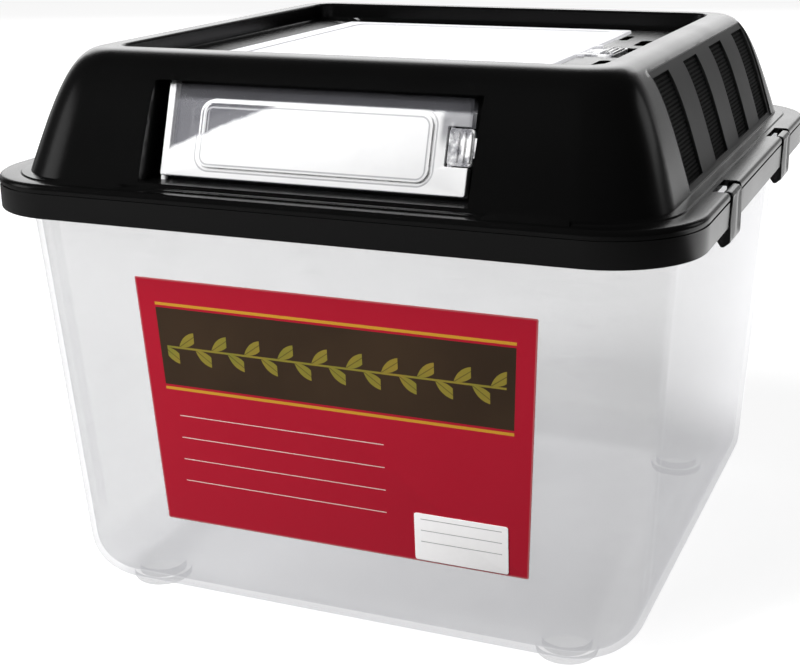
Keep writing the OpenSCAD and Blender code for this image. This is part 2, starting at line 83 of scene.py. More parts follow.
def add_camera():
    """A camera that looks along yaw and pitch, rolled about its own axis, with the lens's shift."""
    yaw, down, roll = (math.radians(a) for a in (CAMERA_YAW, CAMERA_DOWN, CAMERA_ROLL))
    ahead = Vector((math.sin(yaw) * math.cos(down), math.cos(yaw) * math.cos(down), -math.sin(down)))
    right = Vector((math.cos(yaw), -math.sin(yaw), 0))
    up = right.cross(ahead)
    side = right * math.cos(roll) + up * math.sin(roll)
    top = up * math.cos(roll) - right * math.sin(roll)
    data = bpy.data.cameras.new("camera")
    data.sensor_width = SENSOR_MM
    data.lens = FOCAL_PX / IMAGE_W * SENSOR_MM
    data.shift_x = (IMAGE_W / 2 - CENTRE_X_PX) / IMAGE_W
    data.shift_y = (CENTRE_Y_PX - IMAGE_H / 2) / IMAGE_W
    camera = add_object("camera", data)
    turn = Matrix((side, top, -ahead)).transposed().to_4x4()
    camera.matrix_world = Matrix.Translation(Vector(CAMERA_AT) * MM) @ turn
    bpy.context.scene.camera = camera


add_camera()

# %% [markdown]
# ## Meshes from arrays
# Every moulding here is built from closed loops of points. A stack of loops with the same number of
# points is a surface, and its cells are found with array indexing. The helpers turn such stacks into
# meshes, weld them, give them a wall and smooth them.


# %% Mesh helpers
def cells(rows, columns, closed, first=0):
    """Quads between neighbouring rows of a grid of points; closed joins the last column to the first."""
    row = np.arange(rows - 1)[:, None] * columns
    column = np.arange(columns if closed else columns - 1)[None, :]
    after = (column + 1) % columns
    quads = np.stack([row + column, row + after, row + columns + after, row + columns + column], -1)
    return quads.reshape(-1, 4) + first


def new_mesh(name, points, faces):
    """An object at the origin from points in millimetres and lists of faces."""
    mesh = bpy.data.meshes.new(name)
    mesh.from_pydata((np.asarray(points, float) * MM).tolist(), [], [list(map(int, f)) for f in faces])
    mesh.update()
    return add_object(name, mesh)


def weld(obj, outward_point=None):
    """Merges doubles and makes the faces agree; the face nearest outward_point then faces towards it."""
    work = bmesh.new()
    work.from_mesh(obj.data)
    bmesh.ops.remove_doubles(work, verts=work.verts, dist=0.002 * MM)
    bmesh.ops.recalc_face_normals(work, faces=work.faces)
    if outward_point is not None:
        target = Vector(outward_point) * MM
        near = min(work.faces, key=lambda f: (f.calc_center_median() - target).length)
        if near.normal.dot(target - near.calc_center_median()) < 0:
            bmesh.ops.reverse_faces(work, faces=work.faces)
    work.to_mesh(obj.data)
    work.free()
    return obj


def modify(obj, kind, **settings):
    """Adds a modifier and sets it."""
    modifier = obj.modifiers.new(kind.lower(), kind)
    for key, value in settings.items():
        setattr(modifier, key, value)


def bevel(obj, width, past_deg=50):
    """Rounds the edges that bend past an angle, by a width in millimetres."""
    modify(obj, "BEVEL", width=width * MM, segments=2, limit_method="ANGLE",
           angle_limit=math.radians(past_deg))
    return obj


def apply_modifiers(obj):
    """Replaces a mesh by what its modifiers make of it."""
    graph = bpy.context.evaluated_depsgraph_get()
    mesh = bpy.data.meshes.new_from_object(obj.evaluated_get(graph))
    obj.modifiers.clear()
    obj.data = mesh


def finish_mesh(obj, sharp_deg=38):
    """Applies the modifiers, then shades smooth with edges kept sharp past an angle."""
    apply_modifiers(obj)
    obj.data.shade_smooth()
    obj.data.set_sharp_from_angle(angle=math.radians(sharp_deg))
    print(f"{obj.name}: {len(obj.data.polygons)} faces")
    return obj


def join(name, objects):
    """Joins meshes into one object at the origin."""
    work = bmesh.new()
    for obj in objects:
        work.from_mesh(obj.data)
        bpy.data.objects.remove(obj)
    mesh = bpy.data.meshes.new(name)
    work.to_mesh(mesh)
    work.free()
    return add_object(name, mesh)


def rounded_loop(half, r, z, n=10, centre=(0, 0), inset=0.0, least_r=0.05):
    """A level rounded rectangle drawn in by inset: four arcs of n + 1 points joined by straights."""
    half_x, half_y = np.broadcast_to(half, 2) - inset
    r = max(r - inset, least_r)
    turn = np.linspace(0, math.pi / 2, n + 1)
    arcs = []
    for quarter, (sx, sy) in enumerate(((1, 1), (-1, 1), (-1, -1), (1, -1))):
        angle = turn + quarter * math.pi / 2
        arcs.append(np.stack([sx * (half_x - r) + r * np.cos(angle) + centre[0],
                              sy * (half_y - r) + r * np.sin(angle) + centre[1],
                              np.full_like(angle, z)], -1))
    return np.concatenate(arcs)


def fillet(r, steps=6):
    """Pairs along a quarter circle: inset r (1 - sin a) and rise r (1 - cos a)."""
    turn = np.linspace(0, math.pi / 2, steps)
    return list(zip(r * (1 - np.sin(turn)), r * (1 - np.cos(turn))))


def loft(name, loops, cap_first=True):
    """A surface through a stack of loops with equal point counts, with flat caps."""
    stack = np.stack(loops)
    rows, columns = stack.shape[:2]
    faces = cells(rows, columns, True).tolist()
    if cap_first:
        faces.append(list(range(columns))[::-1])
    faces.append(list(range((rows - 1) * columns, rows * columns)))
    return new_mesh(name, stack.reshape(-1, 3), faces)


def lathe(name, start, axis, stations, radii, n=32):
    """A turned rod: circles of the given radii at the given distances along a unit axis, with caps."""
    axis = np.asarray(axis, float)
    side = np.cross(axis, (0, 0, 1.0) if abs(axis[2]) < 0.9 else (1.0, 0, 0))
    side /= np.linalg.norm(side)
    other = np.cross(axis, side)
    angle = np.linspace(0, 2 * math.pi, n, endpoint=False)
    circle = np.cos(angle)[:, None] * side + np.sin(angle)[:, None] * other
    return loft(name, [np.asarray(start) + s * axis + r * circle for s, r in zip(stations, radii)])


def rod(name, start, length, r, bevelled=0.3, n=32):
    """A rod from start along y, its ends bevelled."""
    return lathe(name, start, (0, 1, 0), (0, bevelled, length - bevelled, length),
                 (r - bevelled, r, r, r - bevelled), n)


def pad(name, low, high, r, edge):
    """A block between two corners, with upright edges of radius r and the others rounded by edge."""
    low, high = np.sort([low, high], axis=0).astype(float)
    half, middle = (high - low)[:2] / 2, (high + low)[:2] / 2
    loops = [rounded_loop(half, r, low[2] + up, 6, middle, inset) for inset, up in fillet(edge, 5)]
    loops += [rounded_loop(half, r, high[2] - up, 6, middle, inset) for inset, up in fillet(edge, 5)[::-1]]
    return loft(name, loops)


def move_points(obj, rule):
    """Puts a mesh's points, an array in millimetres, where rule says; the object stays at the origin."""
    co = np.empty(len(obj.data.vertices) * 3)
    obj.data.vertices.foreach_get("co", co)
    co = rule(co.reshape(-1, 3) / MM)
    obj.data.vertices.foreach_set("co", (co * MM).ravel())
    obj.data.update()
    return obj


def leaning_face(at, lean):
    """Origin, up and out of a front face that leans back by an angle; right stays x."""
    sine, cosine = math.sin(lean), math.cos(lean)
    return np.array(at), np.array([0, sine, cosine]), np.array([0, -cosine, sine])


def onto(obj, face):
    """Turns a piece made in a leaning face's frame (right, up, out) into the keeper's frame."""
    at, up, out = face
    return move_points(obj, lambda co: co @ np.stack([(1, 0, 0), up, out]) + at)


def carve(obj, operation, others):
    """Takes meshes out of obj or fuses them to it with an exact boolean, and removes them."""
    cutter = join("cutter", others)
    modify(obj, "BOOLEAN", operation=operation, object=cutter, solver="EXACT", use_self=len(others) > 1)
    apply_modifiers(obj)
    bpy.data.objects.remove(cutter)


# %% [markdown]
# ## Shader maths
# A finish is written as Python expressions. `Value` wraps a node's output, so that `1 - mask * 0.5` adds
# its own Math nodes, and `Finish` makes the material and any other node.


# %% Shader helpers
def math_method(kind, swapped=False):
    """A method of Value that adds one Math node; swapped puts the other number first."""
    def method(self, other=None):
        return self.math(kind, *((other, self) if swapped else (self, other)))
    return method


class Value:
    """A number socket with arithmetic."""

    def __init__(self, nodes, socket):
        self.nodes, self.socket = nodes, socket

    def math(self, kind, first, second=None, clamp=False):
        inputs = {0: first} if second is None else {0: first, 1: second}
        out = self.nodes.node("Math", {"operation": kind, "use_clamp": clamp}, inputs)
        return Value(self.nodes, out.outputs[0])

    __add__ = __radd__ = math_method("ADD")
    __sub__, __rsub__ = math_method("SUBTRACT"), math_method("SUBTRACT", swapped=True)
    __mul__ = __rmul__ = math_method("MULTIPLY")
    __truediv__, __pow__ = math_method("DIVIDE"), math_method("POWER")
    __gt__, __lt__ = math_method("GREATER_THAN"), math_method("LESS_THAN")
    most, least = math_method("MAXIMUM"), math_method("MINIMUM")
    abs, sqrt = math_method("ABSOLUTE"), math_method("SQRT")

    def wrapped(self, period):
        """The same number within one period, from -period/2 to period/2."""
        return (self.math("FRACT", self / period + 0.5) - 0.5) * period

    def clamped(self):
        return self.math("ADD", self, 0, clamp=True)

    def step(self, low, high):
        """0 below low, 1 above high, and a smooth ramp between."""
        out = self.nodes.node("MapRange", {"interpolation_type": "SMOOTHSTEP"},
                              {"Value": self, "From Min": low, "From Max": high})
        return Value(self.nodes, out.outputs[0])


class Nodes:
    """The node tree of a material or a world, filled by code."""

    def __init__(self, owner):
        owner.use_nodes = True
        self.tree = owner.node_tree
        self.tree.nodes.clear()

    def node(self, kind, settings=None, inputs=None):
        """Adds a shader node, sets its settings, then its inputs from values or links."""
        made = self.tree.nodes.new("ShaderNode" + kind)
        for key, value in (settings or {}).items():
            setattr(made, key, value)
        for key, value in (inputs or {}).items():
            self.feed(made.inputs[key], value)
        return made

    def feed(self, socket, value):
        if isinstance(value, Value):
            value = value.socket
        if isinstance(value, bpy.types.NodeSocket):
            self.tree.links.new(value, socket)
        else:
            socket.default_value = value

    def seen_directly(self):
        """1 for rays from the camera, also through clear walls, and 0 for rays that light or mirror."""
        rays = self.node("LightPath").outputs
        return Value(self, rays["Is Camera Ray"]).most(Value(self, rays["Is Transmission Ray"]))


class Finish(Nodes):
    """One material. Places come from Object coordinates, in millimetres."""

    def __init__(self, name):
        self.material = bpy.data.materials.new(name)
        super().__init__(self.material)
        self.shader = self.node("BsdfPrincipled")
        self.output = self.node("OutputMaterial", {}, {"Surface": self.shader.outputs[0]})
        self.place = self.node("TexCoord").outputs["Object"]
        split = self.node("SeparateXYZ", {}, {0: self.place})
        self.x, self.y, self.z = (Value(self, out) * 1000 for out in split.outputs)

    def set(self, **inputs):
        """Feeds the Principled shader; an underscore in a name stands for a space."""
        for key, value in inputs.items():
            self.feed(self.shader.inputs[key.replace("_", " ")], value)

    def noise(self, scale, detail=3.0, stretch=(1, 1, 1)):
        """Noise from 0 to 1 on Object coordinates, stretched along the axes."""
        place = self.node("Mapping", {}, {0: self.place, "Scale": stretch}).outputs[0]
        out = self.node("TexNoise", {}, {"Vector": place, "Scale": scale, "Detail": detail})
        return Value(self, out.outputs[0])

    def facing(self, blend=0.5):
        """0 where the surface is seen square on, 1 at its outline."""
        return Value(self, self.node("LayerWeight", {}, {"Blend": blend}).outputs["Facing"])

    def mix(self, amount, low, high):
        """A colour between two colours, given with or without their alpha of 1."""
        made = self.node("Mix", {"data_type": "RGBA"}, {"Factor": amount})
        for socket, colour in ((made.inputs[6], low), (made.inputs[7], high)):
            self.feed(socket, (*colour, 1) if isinstance(colour, tuple) and len(colour) == 3 else colour)
        return made.outputs[2]

    def bump(self, height, strength, distance=0.0002):
        """A normal from a height field; distance is in metres."""
        return self.node("Bump", {}, {"Strength": strength, "Distance": distance,
                                                "Height": height}).outputs[0]


def paint(obj, finish):
    """Gives obj one material."""
    obj.data.materials.clear()
    obj.data.materials.append(finish.material)


def fit(obj, finish, body, node=None):
    """Gives a piece its finish and body, and hides the CAD node that it stands for."""
    paint(obj, finish)
    if node:
        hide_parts(node)
    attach(obj, body)


def grey(level, blue=1.0):
    """A neutral colour, bluer where blue is above 1."""
    return (level, level, level * blue, 1)


# %% [markdown]
# ## The black plastic
# The lid is injection moulded in black polystyrene or polypropylene with a satin polish. Near black has
# almost no colour of its own, so what the eye reads is the gloss: a little unevenness in roughness and a
# very fine orange-peel bump break the reflections.

# %% Black finishes
def black_plastic(name, level=0.0022, rough=0.19, panels=False):
    """Polished black; panels makes the dome's side panels matte, as their mould was left unpolished."""
    f = Finish(name)
    cloud = f.noise(35, 4)
    fine = f.noise(900, 2)
    tone = f.mix(cloud, grey(level * 0.8), grey(level * 1.3))
    if panels:
        side = (f.x.abs() > SIDE_X) * (f.y > PANEL_Y[0]) * (f.y < PANEL_Y[1])
        side = side * (f.z > PANEL_LOW) * (f.z < PANEL_HIGH)
        rough = side * 0.26 + rough
        tone = f.mix(side, tone, grey(0.045))
    f.set(Base_Color=tone, Roughness=cloud * 0.10 + rough, Specular_IOR_Level=0.42, IOR=1.5,
          Normal=f.bump(fine, 0.05, 0.00005))
    return f


def vent_mesh_finish():
    """Matte black with a fine spark-eroded grain, which catches no clear reflection."""
    f = Finish("vent_mesh_black")
    grain = f.noise(2200, 2)
    f.set(Base_Color=f.mix(grain, grey(0.010), grey(0.024)), Roughness=grain * 0.15 + 0.70,
          Specular_IOR_Level=0.12, Normal=f.bump(grain, 0.35, 0.0001))
    return f


LATCH_BLACK = black_plastic("black_latch_plastic", level=0.004)
VENT_BLACK = vent_mesh_finish()

# %% [markdown]
# ## The lid's shape
# The lid is one moulded skin of even thickness: a band, a flat ledge, a dome that draws in to a rim, a
# sunk deck, and recesses for the two doors. So it is made as one sheet of loops, from the band's lower
# edge over the dome and down to the top doorway, and then thickened inwards. Loops have columns exactly
# at the edges of the vents, the latch notches and the front recess, so that those are left-out cells.

# %% Sizes of the lid
LID_LOW, LID_HIGH = box_mm("lid_shell")
BAND_HALF = LID_HIGH[0]
WALL_TOP, LID_TOP = LID_LOW[2], LID_HIGH[2]
BAND_H, BAND_R, SKIN = 11.3, 30.5, 2.0
LEDGE_TOP = WALL_TOP + BAND_H
DOME_H = LID_TOP - LEDGE_TOP
FOOT_HALF = np.array([BAND_HALF - 10.2, BAND_HALF - 7.4])
DRAW = np.array([23.8, 30.4])
DOME_SLOPE, DOME_ROUND, FOOT_R, RIM_R = 0.53, 3.8, 24.5, 9.0
RIM_W, DECK_D = 2.5, 6.3
DECK_TOP = LID_TOP - DECK_D
STRIPE_Y = 7.0 + 41.3 * (np.arange(4) - 1.5)
STRIPE_HALF, STRIPE_LOW, STRIPE_HIGH = 10.2, LEDGE_TOP + 2.6, LID_TOP - 5.2
PANEL_Y = STRIPE_Y[[0, -1]] + (-12.7, 12.7)
PANEL_LOW, PANEL_HIGH, PANEL_D = LEDGE_TOP + 1.2, LID_TOP - 3.0, 0.6
STEP_W = 0.6  # width of the slope from the dome down to the panel
STRIPE_D = 0.9
BAND_EDGE, RIM_EDGE = 1.6, 0.9  # radii of the upper edges
SIDE_X = 88.0  # past this the dome is its side
LATCH_Y, NOTCH_HALF, NOTCH_X = 50.0, 9.4, 114.3
CUT_X, CUT_Y = 62.0, 84.5  # how far the straight columns of the front and the sides reach


def dome_share(z):
    """Share of the dome's draw used up at a height t from foot to rim: an even slope a t and a rounded
    shoulder (1 - a) (1 - (1 - t^n)^(1/n))."""
    t = np.clip((z - LEDGE_TOP) / DOME_H, 0, 1)
    shoulder = 1 - (1 - t ** DOME_ROUND) ** (1 / DOME_ROUND)
    return DOME_SLOPE * t + (1 - DOME_SLOPE) * shoulder


def dome_half(z):
    return FOOT_HALF[0] - DRAW[0] * dome_share(z), FOOT_HALF[1] - DRAW[1] * dome_share(z)


def dome_corner(z):
    return FOOT_R - (FOOT_R - RIM_R) * dome_share(z)


# %% [markdown]
# ### The front door's own frame
# The front door leans back in its recess. Points there are given as right, up the slope and out of the
# face, and turned into the keeper's frame.

# %% The front door's frame
FRONT_FACE = leaning_face((0, -(FOOT_HALF[1] - 7.2), LEDGE_TOP + 3.1), math.radians(19.5))
FRONT_AT, FRONT_UP, FRONT_OUT = FRONT_FACE
FRONT_W = np.array([-53.5, 50.6])
FRONT_H, DOOR_T, PANE_T = 29.6, 3.0, 1.6
FRONT_FIELD = ((-40.0, 3.3), (38.6, 24.4), 4.0, 0.8)  # low and high corner, corner radius and rise
RECESS_X = FRONT_W + (-3.5, 3.5)
RECESS_FLOOR = -(DOOR_T + 0.2)
RECESS_LOW_Z = LEDGE_TOP + 1.6
RECESS_TOP_UP = FRONT_H + 0.3
heights = np.linspace(LEDGE_TOP, LID_TOP, 4000)
up_slope = (-dome_half(heights)[1] - FRONT_AT[1]) * FRONT_UP[1] + (heights - FRONT_AT[2]) * FRONT_UP[2]
RECESS_TOP_Z = float(np.interp(RECESS_TOP_UP, up_slope, heights))  # where the slope comes out of the dome


# %% The columns of a loop
def spread(edges, pitch):
    """Sorted values that hold every edge, with steps of about pitch between them."""
    edges = sorted(set(np.round(edges, 4)))
    parts = [np.linspace(a, b, max(2, int(math.ceil((b - a) / pitch)) + 1))[:-1]
             for a, b in zip(edges[:-1], edges[1:])]
    return np.append(np.concatenate(parts), edges[-1])


spans = [(0, CUT_Y), (-LATCH_Y, NOTCH_HALF), (LATCH_Y, NOTCH_HALF)]
spans += [(y, STEP_W / 2) for y in PANEL_Y] + [(y, STRIPE_HALF) for y in STRIPE_Y]
SIDE_Y = spread([y + s * half for y, half in spans for s in (-1, 1)], 4.0)
FRONT_X = spread([-CUT_X, CUT_X, *RECESS_X, *(-RECESS_X)], 3.0)
N_CORNER = 44


def along(value, half, other_half, r):
    """Distance of the outline from the middle, at a place along the straight or the corner's arc."""
    past = np.clip(np.abs(value) - (other_half - r), 0, r)
    return half - r + np.sqrt(r * r - past * past)


def corner_path(half_x, half_y, r, cut_x, cut_y):
    """Points between the side's last column and the back's first one, even along straight and arc."""
    start = math.asin(np.clip((cut_y - (half_y - r)) / r, 0, 1))
    end = math.pi / 2 - math.asin(np.clip((cut_x - (half_x - r)) / r, 0, 1))
    before, after = max(0.0, half_y - r - cut_y), max(0.0, half_x - r - cut_x)
    bend = r * (end - start)
    s = np.linspace(0, before + bend + after, N_CORNER + 2)[1:-1]
    angle = start + np.clip(s - before, 0, bend) / r
    x = half_x - r + r * np.cos(angle) - np.clip(s - before - bend, 0, None)
    y = half_y - r + r * np.sin(angle) - np.clip(before - s, 0, None)
    return np.stack([x, y], -1)


def lid_loop(half_x, half_y, r, z, reach=1.0, centre_x=0.0, panel=False):
    """One loop of the lid, counterclockwise from the right side's front end. reach draws in the straight
    columns on the small inner loops; panel sinks the side panels."""
    cut_x, cut_y = CUT_X * reach, CUT_Y * reach
    side_y, front_x = SIDE_Y * reach, FRONT_X * reach
    side_x = along(side_y, half_x, half_y, r)
    if panel:
        to_edge = np.minimum(side_y - PANEL_Y[0], PANEL_Y[1] - side_y)
        inside_y = np.clip(to_edge / STEP_W + 0.5, 0, 1)
        inside_z = np.clip(min(z - PANEL_LOW, PANEL_HIGH - z) / STEP_W, 0, 1)
        side_x = side_x - PANEL_D * np.minimum(inside_y, inside_z)
    back_y = along(front_x, half_y, half_x, r)
    quarter = corner_path(half_x, half_y, r, cut_x, cut_y)
    right = np.stack([side_x, side_y], -1)
    back = np.stack([front_x, back_y], -1)[::-1]
    pieces = [right, quarter, back, (quarter * (-1, 1))[::-1], right[::-1] * (-1, 1), quarter * (-1, -1),
              back[::-1] * (1, -1), (quarter * (1, -1))[::-1]]
    flat = np.concatenate(pieces) + (centre_x, 0)
    return np.column_stack([flat, np.full(len(flat), z)])


# %% [markdown]
# ### The stack of loops
# The outside edges of the band and the rim have small round fillets, worked out as quarter circles. On
# the deck the loops pass from the rim's rounded rectangle to the door seat's, and end at the doorway.

# %% The loops from the band to the top doorway
TOP_SEAT = np.array([-64.9, 57.5])
TOP_SEAT_HALF_Y = 63.5
TOP_DOOR_Z = DECK_TOP + 0.8
TOP_SEAT_Z = TOP_DOOR_Z - DOOR_T - 0.2
THROAT = np.array([-58.7, 52.0])
THROAT_HALF_Y = 58.0


def lid_loops():
    """The whole stack of loops and the part each is in, or its height where it is in the dome."""
    loops, marks = [], []

    def add(shape, z, mark, **more):
        loops.append(lid_loop(*shape, z, **more))
        marks.append(mark)

    band = np.array([BAND_HALF, BAND_HALF, BAND_R])
    for inset, up in fillet(0.7):
        add(band - inset, WALL_TOP + up, "band")
    for inset, down in ((0, 3.0), (0.45, 2.85), (0.45, 2.35), (0, 2.2)):  # a fine groove under the edge
        add(band - inset, LEDGE_TOP - down, "band")
    for inset, down in fillet(BAND_EDGE)[::-1]:
        add(band - inset, LEDGE_TOP - down, "band")
    outer, inner = band - BAND_EDGE, np.array([*FOOT_HALF, FOOT_R])
    add(outer + (inner - outer) * (outer[0] - NOTCH_X) / (outer[0] - inner[0]), LEDGE_TOP, "notch")
    for grow, up in ((3.2, 0), (2.7, 0.45), (0.5, 0.5)):  # a low plinth round the dome's foot
        add(inner + grow, LEDGE_TOP + up, "ledge")
    keys = [RECESS_LOW_Z, RECESS_TOP_Z, STRIPE_LOW, STRIPE_HIGH, PANEL_LOW, PANEL_LOW + STEP_W, PANEL_HIGH,
            PANEL_HIGH - STEP_W]
    turn = math.pi / 2 * (1 - (1 - np.linspace(0, 1, 40)) ** 1.7)
    even = [*(LEDGE_TOP + DOME_H * np.sin(turn) ** (2 / DOME_ROUND)),
            *np.linspace(LEDGE_TOP + 2, LEDGE_TOP + 18, 8)]
    even = [z for z in even if min(abs(z - k) for k in keys) > 0.35 and z > LEDGE_TOP + 0.6]
    for z in sorted([LEDGE_TOP + 0.6, *keys, *even]):
        draw_in = 1 - 0.07 * max(0.0, (z - PANEL_HIGH) / (LID_TOP - PANEL_HIGH))
        add((*dome_half(z), dome_corner(z)), z, float(z), panel=True, reach=draw_in)
    rim = np.array([*(FOOT_HALF - DRAW), RIM_R]) - RIM_W
    for inset, down in fillet(RIM_EDGE):
        add(rim + inset, LID_TOP - down, "rim", reach=0.93)
    for inset, up in fillet(RIM_EDGE)[::-1]:
        add(rim - inset * 0.8, DECK_TOP + up, "wall", reach=0.93)
    seat = np.array([(TOP_SEAT[1] - TOP_SEAT[0]) / 2, TOP_SEAT_HALF_Y, 1.3])
    for grow, z in ((0.3, DECK_TOP), (0, DECK_TOP - 0.3), (0, TOP_SEAT_Z)):
        add(seat + grow, z, "seat", reach=0.75, centre_x=TOP_SEAT.mean())
    add(((THROAT[1] - THROAT[0]) / 2, THROAT_HALF_Y, 5.0), TOP_SEAT_Z, "throat", reach=0.7,
        centre_x=THROAT.mean())
    return np.stack(loops), marks


def lid_keep(loops, marks):
    """True for each cell that is part of the sheet: not a vent, a latch notch or the front recess."""
    mid = (loops[:-1] + loops[1:]) / 2
    x, y, z = np.moveaxis((mid + np.roll(mid, -1, axis=1)) / 2, -1, 0)
    pairs = list(zip(marks, marks[1:]))
    dome = np.array([isinstance(a, float) and isinstance(b, float) for a, b in pairs])[:, None]
    low = np.array([a == "band" and b in ("band", "notch") for a, b in pairs])[:, None]
    from_stripe = np.min([np.abs(y - middle) for middle in STRIPE_Y], axis=0)
    vent = (np.abs(x) > SIDE_X) & (from_stripe < STRIPE_HALF) & (z > STRIPE_LOW) & (z < STRIPE_HIGH)
    front = (y < -70) & (x > RECESS_X[0]) & (x < RECESS_X[1]) & (z > RECESS_LOW_Z) & (z < RECESS_TOP_Z)
    notch = (np.abs(x) > 100) & (np.abs(np.abs(y) - LATCH_Y) < NOTCH_HALF)
    return ~(dome & (vent | front) | low & notch)


# %% [markdown]
# ### The front recess
# The recess starts at the hole left in the dome, runs back to a sloping floor and ends at the front
# doorway. Its first loop uses the very points of the hole, so that the two sheets weld.

# %% The front recess
def recess_loops(marks):
    """Loops from the hole in the dome to the recess floor and the front doorway."""
    z_rows = np.array([m for m in marks if isinstance(m, float)])
    z_rows = z_rows[(z_rows > RECESS_LOW_Z - 0.01) & (z_rows < RECESS_TOP_Z + 0.01)]
    x_cols = FRONT_X[(FRONT_X > RECESS_X[0] - 0.01) & (FRONT_X < RECESS_X[1] + 0.01)]
    low_up = (RECESS_LOW_Z - FRONT_AT[2] - RECESS_FLOOR * FRONT_OUT[2]) / FRONT_UP[2]
    share = (z_rows - RECESS_LOW_Z) / (RECESS_TOP_Z - RECESS_LOW_Z)
    up_rows = low_up + share * (RECESS_TOP_UP - low_up)
    last = len(z_rows) - 1
    climb = np.arange(1, last)
    sides = ((x_cols, 0), (x_cols[-1], climb), (x_cols[::-1], last), (x_cols[0], climb[::-1]))
    x, row = (np.concatenate(part) for part in zip(*(np.broadcast_arrays(*side) for side in sides)))
    edge = np.stack([x, -dome_half(z_rows[row])[1], z_rows[row]], -1)
    floor_local = np.stack([x, up_rows[row]], -1)

    def on_slope(local):
        return FRONT_AT + local @ np.stack([(1, 0, 0), FRONT_UP]) + RECESS_FLOOR * FRONT_OUT

    middle, half, r = np.array([-2.95, FRONT_H / 2]), np.array([43.05, FRONT_H / 2 - 4]), 4.0  # the doorway
    low, high = np.array([x_cols[0], low_up]), np.array([x_cols[-1], RECESS_TOP_UP])
    door = (floor_local - (low + high) / 2) / ((high - low) / 2) * half
    past = np.clip(np.abs(door) - (half - r), 0, None)
    bend = (past > 0).all(axis=1)
    length = np.linalg.norm(past[bend], axis=1, keepdims=True)
    door[bend] = np.sign(door[bend]) * ((half - r) + past[bend] / length * r)
    wall = edge + (on_slope(floor_local) - edge) * np.linspace(0, 1, 5)[:, None, None]
    return np.concatenate([wall, on_slope(door + middle)[None]])


# %% Make the lid shell
WELL_X, WELL_HALF_Y, WELL_FLOOR = np.array([57.0, 75.0]), 13.6, DECK_TOP - 7.6
SLOTS = ((70.0, 29.0, 4.5, 16.0), (60.2, 43.0, 3.2, 14.0))


def deck_cutters():
    """Cutters for the finger well and the four slots in the deck."""
    cutters = [pad("c", (WELL_X[0], -WELL_HALF_Y, WELL_FLOOR - 6), (WELL_X[1], WELL_HALF_Y, LID_TOP),
                   1.2, 0.1)]
    for x, y, width, length in SLOTS:
        for s in (-1, 1):
            cutters.append(pad("c", (x - width / 2, s * y - length / 2, DECK_TOP - 6),
                               (x + width / 2, s * y + length / 2, DECK_TOP + 4), width / 2 - 0.1, 0.1))
    return cutters


def make_lid():
    loops, marks = lid_loops()
    rows, columns = loops.shape[:2]
    main = cells(rows, columns, True)[lid_keep(loops, marks).ravel()]
    inner = recess_loops(marks)
    more = cells(*inner.shape[:2], True, first=rows * columns)
    points = np.concatenate([loops.reshape(-1, 3), inner.reshape(-1, 3)])
    lid = new_mesh("lid_moulding", points, np.concatenate([main, more]))
    weld(lid, outward_point=(BAND_HALF + 5, 0, WALL_TOP + 5))
    modify(lid, "SOLIDIFY", thickness=SKIN * MM, offset=-1, use_even_offset=False, use_quality_normals=True)
    finish_mesh(lid)
    carve(lid, "DIFFERENCE", deck_cutters())
    return finish_mesh(bevel(lid, 0.35))


lid = make_lid()
BLACK = black_plastic("black_lid_plastic", panels=True)

# %% [markdown]
# ### What the lid carries
# Some details of the lid are blocks and cups that grow out of its skin: the finger well behind the top
# door's catch, the collar that centres the lid in the tank, the lugs and cheeks that hold hinge pins, and
# the keepers of both catches.


# %% The lid's small parts
def well_cup():
    """The finger well: loops down its wall, a rounded foot, and a flat floor, with a wall outside."""
    middle, half = (WELL_X.mean(), 0), np.array([(WELL_X[1] - WELL_X[0]) / 2, WELL_HALF_Y])
    loops = [rounded_loop(half, 1.2, DECK_TOP - 0.6, 6, middle)]
    loops += [rounded_loop(half - inset, 1.2, WELL_FLOOR + up, 6, middle)
              for inset, up in fillet(0.8, 4)[::-1]]
    cup = weld(loft("cup", loops, cap_first=False), outward_point=(*middle, DECK_TOP))
    modify(cup, "SOLIDIFY", thickness=SKIN * MM, offset=-1)
    return finish_mesh(cup)


def collar():
    """The collar under the ledge that centres the lid in the tank's mouth."""
    half, r, low, high, wall = 108.6, 21.4, LEDGE_TOP - 7.5, LEDGE_TOP - 1.2, 1.8
    section = ((0, high), (0, low + 0.6), (0.6, low), (wall, low), (wall, high), (0, high))
    ring = np.stack([rounded_loop(half, r, z, 12, inset=inset) for inset, z in section])
    return weld(new_mesh("collar", ring.reshape(-1, 3), cells(len(ring), ring.shape[1], True)),
                outward_point=(half + 9, 0, low + 2))


def hinge_lugs():
    """Round-topped lugs of the top door's hinge: a turned boss on a short foot."""
    made = []
    for y in (-66.9, 63.3):
        made += [rod("boss", (-62.2, y, DECK_TOP - 0.7), 3.6, 2.7, 0.4),
                 pad("foot", (-64.9, y, DECK_TOP - 2.2), (-59.5, y + 3.6, DECK_TOP - 0.5), 0.5, 0.3)]
    return made


def latch_cheeks():
    """The blocks beside each latch that hold its pins."""
    return [pad("cheek", (sx * 115.3, y + s * NOTCH_HALF, 147.3),
                (sx * 119.6, y + s * (NOTCH_HALF + 3.4), 153.4), 0.5, 0.3)
            for sx in (-1, 1) for y in (-LATCH_Y, LATCH_Y) for s in (-1, 1)]


lid_parts = [well_cup(), collar(), *hinge_lugs(), *latch_cheeks(),
             pad("top_keeper", (67.5, -5, WELL_FLOOR - 1), (69.1, 5, WELL_FLOOR + 3.6), 0.3, 0.3),
             onto(pad("front_keeper", (53.5, 11.8, -4.2), (54.6, 17.8, -0.4), 0.2, 0.2), FRONT_FACE)]
fittings = finish_mesh(weld(join("lid_fittings", lid_parts)))
fit(lid, BLACK, "lid_body", "lid_shell")
fit(fittings, BLACK, "lid_body")

